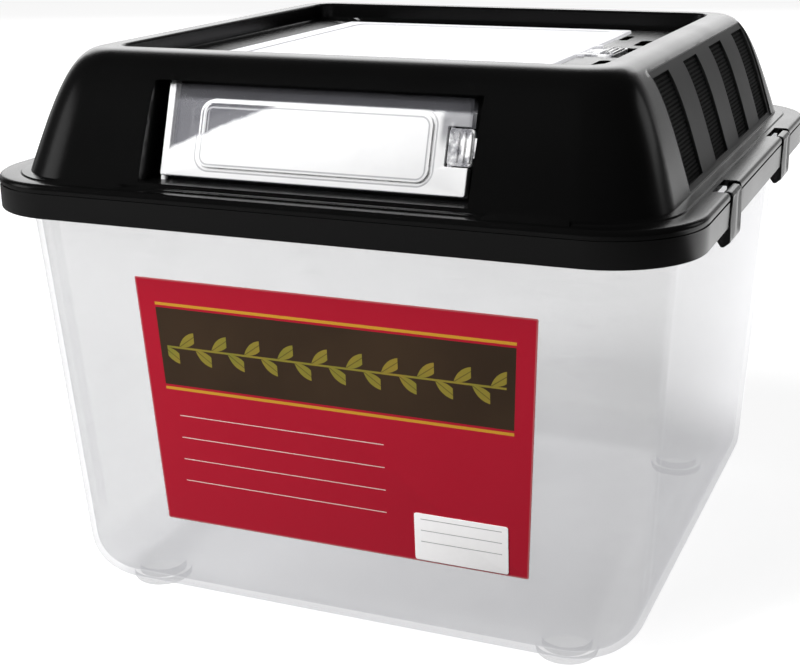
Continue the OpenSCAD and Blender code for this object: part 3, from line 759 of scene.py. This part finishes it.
# %% [markdown]
# ### The vent stripes
# On the real lid each side has four sunk stripes of very fine openings. Each stripe here is a lattice: a
# grid of points on the dome's own surface, sunk below the panel, with every second cell in both
# directions left out, and then given a wall. The openings are real, about a millimetre apart.

# %% Vent lattices
VENT_PITCH, VENT_BAR = 1.25, 0.6


def vent_lattice(side, middle):
    """x from the dome's outline at the height, y and z from a grid whose lines are bars and openings."""
    def lines(low, high):
        count = int((high - low - VENT_BAR) // VENT_PITCH)
        at = (low + high) / 2 - count * VENT_PITCH / 2 + np.arange(count + 1) * VENT_PITCH
        edges = np.stack([at - VENT_BAR / 2, at + VENT_BAR / 2], -1).ravel()
        edges[0], edges[-1] = low, high
        return edges

    y = lines(middle - STRIPE_HALF - 0.4, middle + STRIPE_HALF + 0.4)
    z = lines(STRIPE_LOW - 0.4, STRIPE_HIGH + 0.4)
    yy, zz = np.meshgrid(y, z)
    xx = along(yy, *dome_half(zz), dome_corner(zz)) - PANEL_D - STRIPE_D
    opening = (np.indices((len(z) - 1, len(y) - 1)) % 2 == 1).all(axis=0).ravel()
    lattice = new_mesh("lattice", np.stack([side * xx, yy, zz], -1).reshape(-1, 3),
                       cells(len(z), len(y), False)[~opening])
    return weld(lattice, outward_point=(side * 130, middle, LEDGE_TOP + 20))


for side, name in ((1, "vents_right"), (-1, "vents_left")):
    stripes = join(name, [vent_lattice(side, middle) for middle in STRIPE_Y])
    modify(stripes, "SOLIDIFY", thickness=0.9 * MM, offset=-1)
    fit(finish_mesh(stripes), VENT_BLACK, "lid_body")

# %% [markdown]
# ## Clear plastic
# The tank and both doors are crystal polystyrene. A clear wall this thin hardly bends light, so it is
# painted as a thin sheet: nearly see-through where it is seen square on and denser towards its outline,
# where the eye looks along the wall. Layer Weight gives that angle. Fine scuffs, a slight haze and a faint
# painted glow, which stands for the light scattered inside the wall, keep it from looking like nothing at
# all.


# %% Sizes of the tank and clear finishes
TANK_HIGH = box_mm("tank")[1]
FOOT_H, WALL_T, FLOOR_T = 3.0, 2.0, 2.5
BASE_HALF, MOUTH_HALF, TANK_R, EDGE_R = 103.4, 111.0, 24.0, 15.0
DRAFT = (MOUTH_HALF - BASE_HALF) / (WALL_TOP - FOOT_H)
RIM_HALF, RIM_T = TANK_HIGH[0], 1.6
FOOT_XY, FOOT_RADIUS = (78.0, 82.0), 10.5


def tank_darkening_and_corner_shade(f):
    """Where the tank's wall is drawn darker and denser: towards its foot and lower down, and in a painted
    shade line beside each front corner.
    """
    half = (f.z - FOOT_H) * DRAFT + BASE_HALF
    beside = (f.y.abs() - (half - TANK_R)).abs()
    on_side = (f.x.abs() - (half - 4)).step(0, 1) * (f.y < 0)
    # painted shade: a thin dark line beside each front corner, on the front half only
    line = (1 - beside.step(0.4, 2.2)) * on_side * f.z.step(16, 30)
    foot = 1 - f.z.step(6, 17)
    low = 1 - (f.z * (1 / 130.0)).clamped()
    return (line * 0.20 + foot * 0.16 + low * 0.13).clamped()


def clear_plastic(name, alphas, tones, power, haze, rough, glow, tank_lines=False):
    """Alpha, tone and glow go from their first value, seen square on, to the second, at the outline."""
    f = Finish(name)
    turn = f.facing() ** power
    if tank_lines:
        turn = (turn + tank_darkening_and_corner_shade(f)).clamped()
    cloud = f.noise(18, 3)
    scuff = (f.noise(60, 6, (1, 1, 5)) - 0.55).most(0) * haze * 2
    # painted light: the emission below makes the wall glow, more towards its outline
    f.set(Base_Color=f.mix(turn, *tones),
          Alpha=(turn * (alphas[1] - alphas[0]) + alphas[0] + (cloud - 0.5) * haze + scuff).clamped(),
          Roughness=cloud * 0.06 + rough, IOR=1.59, Specular_IOR_Level=0.5,
          Normal=f.bump(f.noise(70, 2), 0.012, 0.0003),
          Emission_Color=f.mix(turn, grey(glow, 1.05), (0.56, 0.56, 0.58)), Emission_Strength=1.0)
    return f


def outline_distance(across, up, low, high, r):
    """Signed distance, in millimetres, from a rounded rectangle: |max(q, 0)| + min(max(q), 0) - r."""
    q_x = (across - (low[0] + high[0]) / 2).abs() - ((high[0] - low[0]) / 2 - r)
    q_y = (up - (low[1] + high[1]) / 2).abs() - ((high[1] - low[1]) / 2 - r)
    past_x, past_y = q_x.most(0), q_y.most(0)
    return (past_x * past_x + past_y * past_y).sqrt() + q_x.most(q_y).least(0) - r


def front_door_finish():
    """Clear pane with painted light: a white patch over its lower right, painted highlights on its ridge
    and hinge, painted dark lines beside the ridge, and painted shade above the ridge.
    """
    f = Finish("clear_front_door_plastic")
    up = (f.z - FRONT_AT[2]) * (1 / FRONT_UP[2])
    cloud = f.noise(90, 3)
    turn = f.facing() ** 2.0
    # painted light: below a ragged diagonal, the lower right of the pane is painted white and dense
    lit_edge = up - (f.x + 43) * 0.43 - 12 + (cloud - 0.5) * 5
    lit = (1 - lit_edge.step(-1.0, 1.0)) * (1 - up.step(24.4, 25.4)) * up.step(-0.4, 0.6)
    ridge = outline_distance(f.x, up, *FRONT_FIELD[:3])
    # painted highlights: a white line on the ridge, a fainter one inside it, and the hinge column
    line = 1 - ridge.abs().step(0.25, 0.75)
    inner = (1 - (ridge + 1.9).abs().step(0.1, 0.4)) * 0.5
    hinge = 1 - f.x.step(-50.9, -50.2)
    # painted shade: a dark line beside the ridge, within the painted light
    dip = (1 - (ridge.abs() - 1.15).abs().step(0.1, 0.4)) * lit * 0.45
    # the painted light is weaker beside the catch
    lit = lit * (1 - f.x.step(40.0, 42.0) * up.step(13.0, 19.0) * 0.6)
    white = (lit * 0.90).most(line).most(inner * (1 - lit)).most(hinge * 0.94) - dip
    # painted shade: the part above the ridge is made clearer, and so darker, for the lid's shade
    strip = up.step(23.6, 25.6) * (1 - white)  # the part above the ridge stays in the lid's shade
    f.set(Base_Color=f.mix(white, grey(0.40, 1.1), grey(1.0)),
          Alpha=((white * 0.72 + turn * 0.35 + cloud * 0.12 + 0.16) * (1 - strip * 0.6)).clamped(),
          Roughness=cloud * 0.08 + 0.05, IOR=1.59, Specular_IOR_Level=0.5,
          Normal=f.bump(f.noise(60, 2), 0.03, 0.0003))
    return f


def catch_finish():
    """Clear plastic with close painted bright and dark patches, standing for the light that its ribs and
    pins bend in all ways.
    """
    f = Finish("clear_catch_plastic")
    # painted highlights and painted shade: bright and dark patches from noise
    patch = f.noise(230, 3).step(0.40, 0.60)
    f.set(Base_Color=f.mix(patch, (0.42, 0.42, 0.45), grey(1.0)),
          Alpha=(patch * 0.45 + f.facing() * 0.3 + 0.40).clamped(), Roughness=0.08, IOR=1.59)
    return f


# painted light: the tank's wall glows faintly, and painted shade darkens its foot and a line by each front
# corner
CLEAR_TANK = clear_plastic("clear_tank_plastic", (0.165, 0.62), ((0.10, 0.10, 0.11), (0.16, 0.16, 0.18)),
                           power=6.0, haze=0.04, rough=0.08, glow=0.20, tank_lines=True)
CLEAR_FRONT = front_door_finish()
# painted light: the top door glows strongly, which keeps it pale from every side
CLEAR_TOP = clear_plastic("clear_top_door_plastic", (0.72, 0.94), ((0.34, 0.34, 0.35), (0.40, 0.40, 0.41)),
                          power=1.2, haze=0.05, rough=0.24, glow=0.40)
CLEAR_CATCH = catch_finish()

# %% [markdown]
# ## The tank
# The tank is a drafted box with round corners, a rounded foot edge, a rolled rim that stiffens its mouth
# and four hollow feet. One closed stack of loops runs up the outside, over the rim and down the inside, so
# that the wall has its real thickness and both faces show.

# %% The tank
def tank_wall(skin, z, drawn=0.0):
    """A loop of the drafted wall at height z, inside its face by skin, and further by drawn."""
    return rounded_loop(BASE_HALF + (z - FOOT_H) * DRAFT, TANK_R, z, 14, inset=skin + drawn)


def tank_edge(skin, low):
    """Loops of the rounded foot edge: a quarter circle drawn in by the wall's thickness."""
    return [tank_wall(skin, low + up, drawn) for drawn, up in fillet(EDGE_R - skin, 10)]


def rim_loop(inset, z):
    return rounded_loop(RIM_HALF, TANK_R + RIM_HALF - MOUTH_HALF, z, 14, inset=inset)


def make_tank():
    top, under = TANK_HIGH[2], WALL_TOP + 0.3
    outside = tank_edge(0, FOOT_H) + [tank_wall(0, z) for z in np.linspace(40, top - RIM_T, 6)]
    rim = [rim_loop(RIM_T, top - RIM_T), rim_loop(RIM_T, under), rim_loop(0, under)]
    rim += [rim_loop(inset, top - down) for inset, down in fillet(1.2, 5)[::-1]]
    inner = [tank_wall(WALL_T, z) for z in np.linspace(top, 40, 6)]
    inner += tank_edge(WALL_T, FOOT_H + FLOOR_T)[::-1]
    tank = weld(loft("tank_moulding", outside + rim + inner), outward_point=(200, 0, 60))
    r, up = FOOT_RADIUS, (0, 0, 1)
    places = [(sx * FOOT_XY[0], sy * FOOT_XY[1], 0) for sx in (-1, 1) for sy in (-1, 1)]
    carve(tank, "UNION", [lathe("foot", at, up, (0, 0.3, 1.0, FOOT_H + 1.5), (r - 1.0, r - 0.3, r, r), 40)
                          for at in places])
    carve(tank, "DIFFERENCE", [lathe("well", at, up, (FLOOR_T, FOOT_H + FLOOR_T + 2),
                                     (r - WALL_T, r - WALL_T), 40) for at in places])
    return finish_mesh(bevel(tank, 0.3), 30)


fit(make_tank(), CLEAR_TANK, "tank_body", "tank")

# %% [markdown]
# ## The doors
# Both doors are shallow trays turned over: a thin pane with a skirt round it. The loops start under the
# pane, go down inside the skirt, round its foot, up its outside and over the border to the raised or sunk
# middle, so each door is one closed skin. Barrels, pins and ears are fused on.


# %% A tray-shaped door
def tray(name, low, high, top, corner, edge, field):
    """Closed loops of a door in its own frame. field = (low, high, r, rise) is the middle's outline."""
    *field, rise = field
    inner, outer = ((np.array(a), np.array(b), r) for a, b, r in (field, (low, high, corner)))

    def loop(box, inset, z, least_r=0.2):
        return rounded_loop((box[1] - box[0]) / 2, box[2], z, 8, (box[0] + box[1]) / 2, inset, least_r)

    loops = [loop(inner, PANE_T, top + rise - PANE_T), loop(inner, PANE_T, top - PANE_T),
             loop(outer, PANE_T, top - PANE_T, 0.5), loop(outer, PANE_T, top - DOOR_T, 0.5),
             loop(outer, 0, top - DOOR_T)]
    loops += [loop(outer, inset, top - down) for inset, down in fillet(edge, 4)[::-1]]
    round_r, way = min(abs(rise) / 2, 0.35), math.copysign(1, rise)
    loops += [loop(inner, -out, top + way * up) for out, up in fillet(round_r, 3)]
    loops += [loop(inner, inset, top + rise - way * up) for inset, up in fillet(round_r, 3)[::-1]]
    return weld(loft(name, loops), outward_point=(*outer[0], top + 60))


# %% The front door
FRONT_PIN = np.array([-52.0, 0.0, -1.5])
CATCH_MID = FRONT_H / 2


def make_front_door():
    door = tray("front_door_moulding", (FRONT_PIN[0], 0), (FRONT_W[1], FRONT_H), 0, 0.8, 0.4, FRONT_FIELD)
    carve(door, "UNION", [rod("barrel", FRONT_PIN, FRONT_H, 1.5),
                          rod("pins", FRONT_PIN - (0, 3, 0), FRONT_H + 5.3, 1.1)])
    carve(door, "DIFFERENCE", [pad("c", (43.0, CATCH_MID - 6.1, -6), (56, CATCH_MID + 6.1, 4), 0.6, 0.1)])
    return finish_mesh(onto(bevel(door, 0.15), FRONT_FACE), 30)


fit(make_front_door(), CLEAR_FRONT, "front_door_body", "front_door")


# %% The top door
TOP_LOW, TOP_HIGH = np.array([-62.2, -63.0]), np.array([57.0, 63.0])
TOP_PIN = np.array([-62.2, 0, TOP_DOOR_Z - 1.5])


def make_top_door():
    field = (TOP_LOW + (6.5, 5.5), TOP_HIGH - (5.5, 5.5), 4.0, -0.5)
    door = tray("top_door_moulding", TOP_LOW, TOP_HIGH, TOP_DOOR_Z, 1.0, 0.5, field)
    carve(door, "UNION", [rod("barrel", TOP_PIN - (0, 63, 0), 126.0, 1.5),
                          rod("pins", TOP_PIN - (0, 65.3, 0), 130.6, 1.1)])
    carve(door, "UNION", [pad("ear", (56.5, s * 11.5, TOP_DOOR_Z - DOOR_T), (59.4, s * 13.3, TOP_DOOR_Z),
                              0.5, 0.3) for s in (-1, 1)])
    return finish_mesh(bevel(door, 0.15), 30)


fit(make_top_door(), CLEAR_TOP, "top_door_body", "top_door")

# %% [markdown]
# ### The catches
# Each catch is a small clear tongue with finger ribs at its tip. Its rounded edges are what catches the
# light, so the tongue and each rib are padded blocks with real fillets, fused into one skin.


# %% Catches
def catch(name, low, high, pin, pin_half, tip, rib_half, nose):
    """A tongue between two corners, with a pin at its root, three ribs behind its tip and a nose."""
    tongue = pad(name, low, high, 1.2, 0.4)
    parts = [rod("pin", np.array(pin) - (0, pin_half, 0), 2 * pin_half, 0.7, 0.2, 20),
             pad("nose", *nose, 0.2, 0.15)]
    parts += [pad("rib", (x, pin[1] - rib_half, high[2] - 0.5), (x + 0.9, pin[1] + rib_half, high[2] + 0.6),
                  0.4, 0.3) for x in (tip - 1.4, tip - 3.4, tip - 5.4)]
    for part in parts:
        carve(tongue, "UNION", [part])
    return tongue


x, z = 58.1, TOP_DOOR_Z - 1.3  # the top catch's pin
tip = x + 11
top_catch = catch("top_catch_moulding", (x - 0.9, -11, z - 0.9), (tip, 11, z + 0.9), (x, 0, z), 13.0, tip,
                  8.0, ((65.6, -5, z - 4.3), (67.1, 5, z - 0.5)))
fit(finish_mesh(top_catch), CLEAR_CATCH, "top_catch_body", "top_door_catch")
y, out, tip = CATCH_MID, -1.2, 51.5  # in the front door's own frame
front_catch = catch("front_catch_moulding", (43.5, y - 5.6, out - 0.8), (tip, y + 5.6, out + 0.8),
                    (44.3, y, out), 7.3, tip, 4.6, ((51.0, y - 3, out - 0.4), (53.2, y + 3, out + 0.4)))
front_catch = finish_mesh(onto(front_catch, FRONT_FACE))
fit(front_catch, CLEAR_CATCH, "front_catch_body", "front_door_catch")

# %% [markdown]
# ## The latches
# A latch is a stiff black strap that turns on pins in the lid's band and hooks under the tank's rim. Its
# section, seen along the band, is a closed outline carried along the latch's width. The raised middle
# and the narrower top come from moving the outline in and out along the way.

# %% The latches
LATCH_OUTLINE = np.array([(114.7, 142.1), (114.7, 140.2), (117.7, 136.1), (118.6, 136.2), (120.4, 137.7),
                          (120.6, 138.4), (120.6, 141.0), (120.6, 144.0), (120.6, 147.5), (120.6, 150.5),
                          (120.5, 152.2), (119.8, 153.2), (118.6, 153.5), (117.8, 153.5), (116.4, 152.0),
                          (116.0, 150.3), (116.4, 148.8), (117.8, 148.2), (117.8, 145.0), (117.8, 142.1)])


def latch_strap(name, sign_x, middle):
    """The outline is swept along y. The outer face drops by a smooth groove on both sides of the middle,
    and the strap is narrower above its pins' height."""
    half = np.array([1.0, 1.6, 4.6, 5.4, 6.2, 8.0, 8.7, 9.0])
    across = np.concatenate([-half[::-1], half])
    edge = np.clip(np.abs(across) - 8.0, 0, 1) ** 2 * 0.45
    dip = 0.7 * np.exp(-((np.abs(across) - 5.4) / 1.2) ** 4) * (np.abs(across) < 7.5)
    inwards = LATCH_OUTLINE.mean(axis=0) - LATCH_OUTLINE
    inwards /= np.linalg.norm(inwards, axis=1, keepdims=True)
    loops = []
    for y, e, g in zip(across, edge, dip):
        x, z = (LATCH_OUTLINE + inwards * e).T
        x = x - g * ((x > 120) & (z > 140) & (z < 151.5))
        narrow = 1 - 0.17 * np.clip((z - 146.5) / 1.5, 0, 1)
        loops.append(np.column_stack([sign_x * x, middle + y * narrow, z]))
    strap = weld(loft(name, loops), outward_point=(sign_x * 140, middle, 146))
    carve(strap, "UNION", [rod("pins", (sign_x * 117.9, middle - 11.4, 150.3), 22.8, 1.1, 0.3, 24)])
    return finish_mesh(bevel(strap, 0.25, 40))


for side, sign_x in (("right", 1), ("left", -1)):
    for place, sign_y in (("front", -1), ("rear", 1)):
        node = f"latch_{side}_{place}"
        strap = latch_strap(node + "_strap", sign_x, sign_y * LATCH_Y)
        fit(strap, LATCH_BLACK, node + "_body", node)

# %% [markdown]
# ## The label and the sticker
# The label is glossy paper glued to the front wall: a crimson field with a dark panel of leaves between
# ochre lines, and pale ruled lines to write on. All of it is drawn by shader maths in millimetres on the
# label itself. The sticker is white paper with a few plain ruled lines.

# %% Label finishes
LABEL_X, LABEL_UP, LABEL_FLARE = np.array([-58.6, 71.8]), np.array([33.4, 120.9]), 3.6
LABEL_MID = LABEL_X.mean()
WIDEN = LABEL_FLARE / (LABEL_X[1] - LABEL_MID) / (LABEL_UP[1] - LABEL_UP[0])  # growth of the width per mm
STICKER_X, STICKER_UP = np.array([33.6, 65.3]), np.array([34.0, 50.8])
WALL_LEAN = math.atan(DRAFT)


def up_wall(f):
    """Distance up the leaning front wall."""
    return (f.z - FOOT_H) * (1 / math.cos(WALL_LEAN))


def inside(value, low, high, soft=0.12):
    """1 between low and high, with soft edges."""
    return value.step(low - soft, low + soft) * (1 - value.step(high - soft, high + soft))


def label_finish():
    f = Finish("crimson_label_paper")
    up = up_wall(f)
    across = (f.x - LABEL_MID) / ((up - LABEL_UP[0]) * WIDEN + 1) + LABEL_MID
    fibre = f.noise(400, 3)
    cloud = f.noise(30, 4)
    crimson = f.mix(cloud * 0.5 + fibre * 0.3, (0.41, 0.007, 0.024), (0.47, 0.011, 0.031))
    panel = inside(across, -52.5, 65.7) * inside(up, 84, 111)
    ground = f.mix(cloud, (0.022, 0.013, 0.008), (0.060, 0.035, 0.018))
    colour = f.mix(panel, crimson, ground)
    stem_y = up - 97.5
    leaf = None
    for tilt, shift, rise in ((0.62, 0.0, 1.0), (-0.62, 6.0, -1.0)):
        c, s = math.cos(tilt), math.sin(tilt)
        x = (f.x + shift).wrapped(12.0)
        a = x * c + stem_y * s - 5.2
        b = stem_y * c - x * s
        blade = (1 - (a / 5.0) * (a / 5.0)).most(0) * 1.9 - b.abs()
        half = inside(a, -5.0, 5.0) * blade.step(0, 0.15) * (stem_y * rise > 0.0)
        vein = 1 - inside(b, -0.14, 0.14, 0.05) * 0.6
        leaf = half * vein if leaf is None else leaf.most(half * vein)
    stem = inside(stem_y, -0.35, 0.35, 0.1)
    leaf = leaf.most(stem) * panel
    green = f.mix(f.noise(90, 3), (0.36, 0.22, 0.035), (0.16, 0.20, 0.030))
    colour = f.mix(leaf * inside(across, -50, 63), colour, green)
    rules = inside(up, 82.2, 83.2).most(inside(up, 111.8, 112.8)) * inside(across, -52.5, 65.7)
    colour = f.mix(rules, colour, (0.62, 0.31, 0.030))
    write_y = (up - 41.0).wrapped(8.0)
    writing = inside(write_y, -0.16, 0.16, 0.06) * inside(f.x, -50, 24) * inside(up, 43, 75)
    colour = f.mix(writing * 0.8, colour, (0.85, 0.72, 0.66))
    border = 1 - (inside(across, LABEL_X[0] + 0.5, LABEL_X[1] - 0.5, 0.1)
                  * inside(up, LABEL_UP[0] + 0.5, LABEL_UP[1] - 0.5, 0.1))
    colour = f.mix(border * 0.35, colour, (0.60, 0.30, 0.30))
    f.set(Base_Color=colour, Roughness=fibre * 0.1 + 0.32, Specular_IOR_Level=0.35,
          Normal=f.bump(fibre, 0.06, 0.00005))
    return f


def sticker_finish():
    f = Finish("white_sticker_paper")
    up = up_wall(f)
    fibre = f.noise(500, 3)
    line_y = (up - 36.8).wrapped(4.0)
    lines = inside(line_y, -0.13, 0.13, 0.05) * inside(f.x, 35.8, 63.2) * inside(up, 37.6, 49.6)
    paper = f.mix(fibre, (0.93, 0.92, 0.92), (0.98, 0.97, 0.97))
    f.set(Base_Color=f.mix(lines * 0.75, paper, (0.10, 0.10, 0.11)), Roughness=fibre * 0.1 + 0.5,
          Specular_IOR_Level=0.3, Normal=f.bump(fibre, 0.08, 0.00005))
    return f


# %% The label and the sticker
WALL_FACE = leaning_face((0, -BASE_HALF, FOOT_H), -WALL_LEAN)


def sheet(name, xs, ups, low, corner, widen=0.0, thick=0.2):
    """A thin sheet with round corners, laid on the front wall; its width grows by widen per mm upwards."""
    def widened(co):
        co[:, 0] = xs.mean() + (co[:, 0] - xs.mean()) * (1 + widen * (co[:, 1] - ups[0]))
        return co

    made = pad(name, (xs[0], ups[0], low), (xs[1], ups[1], low + thick), corner, thick / 3)
    return finish_mesh(onto(move_points(made, widened), WALL_FACE))


fit(sheet("label_sheet", LABEL_X, LABEL_UP, 0.05, 0.6, WIDEN), label_finish(), "tank_body",
    "front_label")
fit(sheet("sticker_sheet", STICKER_X, STICKER_UP, 0.3, 0.8), sticker_finish(), "tank_body",
    "blank_sticker")

# %% [markdown]
# ## The studio
# A black gloss shows what surrounds it. The photograph was lit from behind and above: level black faces
# mirror a bright wall behind the keeper, and the front mirrors a dark room. So the world is white for the
# camera, bright behind and dim in front for everything else. A large soft key light is above the front,
# and three dim soft boxes are behind, to the right and to the left.


# %% World, floor and lamps
def studio_world():
    world = bpy.data.worlds.new("studio")
    bpy.context.scene.world = world
    w = Nodes(world)
    way = w.node("TexCoord").outputs["Generated"]
    behind = w.node("VectorMath", {"operation": "DOT_PRODUCT"}, {0: way, 1: (-0.35, 0.93, -0.1)})
    ramp = w.node("MapRange", {"interpolation_type": "SMOOTHSTEP"},
                  {"Value": behind.outputs["Value"], "From Min": 0.58, "From Max": 0.95, "To Min": 0.03,
                   "To Max": 0.75})
    strength = w.node("Mix", {"data_type": "FLOAT"},
                      {"Factor": w.seen_directly(), "A": ramp.outputs[0], "B": 1.0})
    back = w.node("Background", {}, {"Color": grey(1), "Strength": strength.outputs[0]})
    w.node("OutputWorld", {}, {"Surface": back.outputs[0]})


def studio_floor():
    corners = [(x * 4000, y * 4000, 0) for x, y in ((-1, -1), (1, -1), (1, 1), (-1, 1))]
    floor = new_mesh("floor", corners, [(0, 1, 2, 3)])
    f = Finish("floor_white")
    f.set(Base_Color=grey(0.50), Roughness=0.9, Specular_IOR_Level=0.0, Emission_Color=grey(1),
          Emission_Strength=0.84)
    plain = f.node("BsdfDiffuse", {}, {"Color": grey(0.16)})
    lit_part = f.y.step(100, 190) * f.x.step(0, 130) * 1.1  # a lit patch to the right, mirrored in the band
    patch = f.node("Emission", {}, {"Strength": lit_part})
    plain = f.node("AddShader", {}, {0: plain.outputs[0], 1: patch.outputs[0]})
    mix = f.node("MixShader", {}, {0: f.seen_directly(), 1: plain.outputs[0], 2: f.shader.outputs[0]})
    f.feed(f.output.inputs[0], mix.outputs[0])
    paint(floor, f)


def area_lamp(name, place, target, size_x, size_y, radiance, mirrored=True):
    """A rectangular lamp, in metres, whose power gives the stated radiance."""
    data = bpy.data.lights.new(name, "AREA")
    data.shape = "RECTANGLE"
    data.size, data.size_y = size_x, size_y
    data.energy = radiance * math.pi * size_x * size_y
    lamp = add_object(name, data)
    lamp.location = place
    lamp.rotation_euler = (Vector(target) - Vector(place)).to_track_quat("-Z", "Y").to_euler()
    lamp.visible_glossy = mirrored


studio_world()
studio_floor()
area_lamp("key", (-0.75, -0.95, 1.25), (0, 0, 0.08), 0.9, 0.9, 17.0, mirrored=False)
area_lamp("back_wall", (-0.75, 1.75, 0.75), (0, 0, 0.19), 2.4, 0.9, 1.25)
area_lamp("corner_strip", (1.5, 1.25, 0.85), (0.10, 0.0, 0.17), 0.7, 0.7, 0.7)
area_lamp("left_fill", (-1.9, -0.9, 0.7), (-0.05, -0.08, 0.16), 1.0, 1.0, 0.9)
bpy.context.scene.view_settings.view_transform = "Standard"
bpy.context.scene.cycles.transparent_max_bounces = 32
